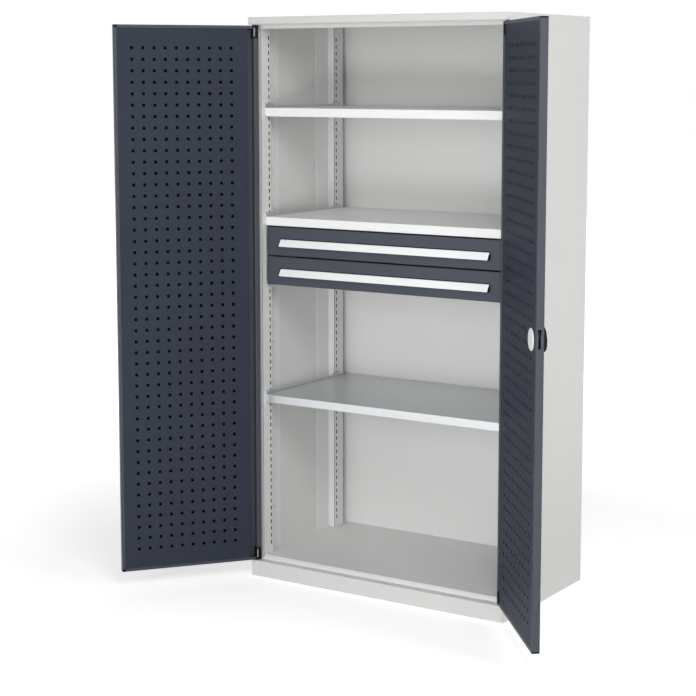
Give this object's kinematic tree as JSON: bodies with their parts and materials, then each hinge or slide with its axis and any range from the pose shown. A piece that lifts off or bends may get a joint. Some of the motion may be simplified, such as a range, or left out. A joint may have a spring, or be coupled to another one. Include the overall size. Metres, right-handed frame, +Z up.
{
  "type": "tool cabinet",
  "caption": "Steel tool cabinet with perforated hinged doors, slotted uprights, hook-in shelves, drawers on telescopic runners and a rod lock with a turning handle.",
  "frame": {"origin": "centre of the footprint of the carcass, on the floor", "axes": "+X to the right seen from the front, +Y to the back, +Z up; the doors and drawers face -Y"},
  "size_m": [1.5997, 0.9548, 1.95],
  "materials": {
    "light_grey_paint": "smooth satin powder coat",
    "pale_grey_paint": "smooth satin powder coat",
    "anthracite_paint": "fine matt powder coat",
    "galvanised_sheet": "galvanised sheet",
    "zinc_plated": "bright zinc plating",
    "blackened_steel": "black oxide",
    "black_plastic": "fine moulded grain",
    "white_plastic": "smooth moulding",
    "white_aluminium": "pale coated profile"
  },
  "bodies": {
    "cabinet": {"left_side_wall": "light_grey_paint", "right_side_wall": "light_grey_paint", "back_panel": "light_grey_paint", "roof_panel": "light_grey_paint", "header_rail": "light_grey_paint", "floor_panel": "light_grey_paint", "plinth_frame": "light_grey_paint", "front_left_upright": "light_grey_paint", "front_right_upright": "light_grey_paint", "rear_left_upright": "light_grey_paint", "rear_right_upright": "light_grey_paint", "upright_screws": "zinc_plated", "hinge_bushes": "black_plastic", "rod_keepers": "zinc_plated", "top_shelf": "pale_grey_paint", "middle_shelf": "pale_grey_paint", "lower_shelf": "galvanised_sheet", "top_shelf_supports": "galvanised_sheet", "middle_shelf_supports": "galvanised_sheet", "lower_shelf_supports": "galvanised_sheet", "upper_cabinet_runners": "zinc_plated", "lower_cabinet_runners": "zinc_plated"},
    "left_door": {"left_door_leaf": "anthracite_paint", "left_door_stiffener": "anthracite_paint", "left_door_panel": "anthracite_paint", "left_door_hinge_blocks": "black_plastic", "left_door_hinge_pins": "zinc_plated", "left_door_corner_caps": "black_plastic"},
    "right_door": {"right_door_leaf": "anthracite_paint", "right_door_stiffener": "anthracite_paint", "right_door_panel": "anthracite_paint", "right_door_hinge_blocks": "black_plastic", "right_door_hinge_pins": "zinc_plated", "right_door_corner_caps": "black_plastic", "handle_dish": "black_plastic", "lock_case": "zinc_plated", "lock_cover": "white_plastic", "rod_guides": "black_plastic"},
    "turn_handle": {"turn_handle": "black_plastic", "lock_spindle": "zinc_plated"},
    "lock_plug": {"lock_plug": "zinc_plated"},
    "upper_rod": {"upper_rod": "zinc_plated"},
    "lower_rod": {"lower_rod": "zinc_plated"},
    "side_bolt": {"side_bolt": "blackened_steel"},
    "upper_drawer": {"upper_drawer_tray": "light_grey_paint", "upper_drawer_front": "anthracite_paint", "upper_drawer_grip_shell": "black_plastic", "upper_drawer_grip_strip": "white_aluminium", "upper_drawer_runners": "zinc_plated"},
    "lower_drawer": {"lower_drawer_tray": "light_grey_paint", "lower_drawer_front": "anthracite_paint", "lower_drawer_grip_shell": "black_plastic", "lower_drawer_grip_strip": "white_aluminium", "lower_drawer_runners": "zinc_plated"},
    "upper_middle_runners": {"upper_middle_runners": "zinc_plated"},
    "lower_middle_runners": {"lower_middle_runners": "zinc_plated"}
  },
  "joints": [
    {"name": "left_door_hinge", "type": "hinge", "parent": "cabinet", "child": "left_door", "pos_m": [-0.4865, -0.2765, 0.9905], "axis": [0, 0, -1], "range_deg": [-128, 7]},
    {"name": "right_door_hinge", "type": "hinge", "parent": "cabinet", "child": "right_door", "pos_m": [0.4865, -0.2765, 0.9905], "axis": [0, 0, 1], "range_deg": [-130, 5]},
    {"name": "handle_turn", "type": "hinge", "parent": "right_door", "child": "turn_handle", "pos_m": [0.76926, -0.59403, 0.9905], "axis": [0.766, 0.6428, 0], "range_deg": [-90.01, 0]},
    {"name": "plug_turn", "type": "hinge", "parent": "turn_handle", "child": "lock_plug", "pos_m": [0.76926, -0.59403, 1.0125], "axis": [0.766, 0.6428, 0], "range_deg": [0, 90]},
    {"name": "upper_rod_slide", "type": "slide", "parent": "right_door", "child": "upper_rod", "axis": [0, 0, -1], "range_m": [-0.016, 0]},
    {"name": "lower_rod_slide", "type": "slide", "parent": "right_door", "child": "lower_rod", "axis": [0, 0, 1], "range_m": [-0.016, 0]},
    {"name": "side_bolt_slide", "type": "slide", "parent": "right_door", "child": "side_bolt", "axis": [-0.6428, 0.766, 0], "range_m": [-0.016, 0]},
    {"name": "upper_drawer_slide", "type": "slide", "parent": "cabinet", "child": "upper_drawer", "axis": [0, -1, 0], "range_m": [0, 0.42]},
    {"name": "upper_middle_slide", "type": "slide", "parent": "cabinet", "child": "upper_middle_runners", "axis": [0, -1, 0], "range_m": [0, 0.21]},
    {"name": "lower_drawer_slide", "type": "slide", "parent": "cabinet", "child": "lower_drawer", "axis": [0, -1, 0], "range_m": [0, 0.42]},
    {"name": "lower_middle_slide", "type": "slide", "parent": "cabinet", "child": "lower_middle_runners", "axis": [0, -1, 0], "range_m": [0, 0.21]}
  ],
  "couplings": [
    {"joint": "handle_turn", "follows": "upper_rod_slide", "rad_per_m": 98.175},
    {"joint": "lower_rod_slide", "follows": "upper_rod_slide", "ratio": 1},
    {"joint": "side_bolt_slide", "follows": "upper_rod_slide", "ratio": 1},
    {"joint": "upper_middle_slide", "follows": "upper_drawer_slide", "ratio": 0.5},
    {"joint": "lower_middle_slide", "follows": "lower_drawer_slide", "ratio": 0.5}
  ]
}
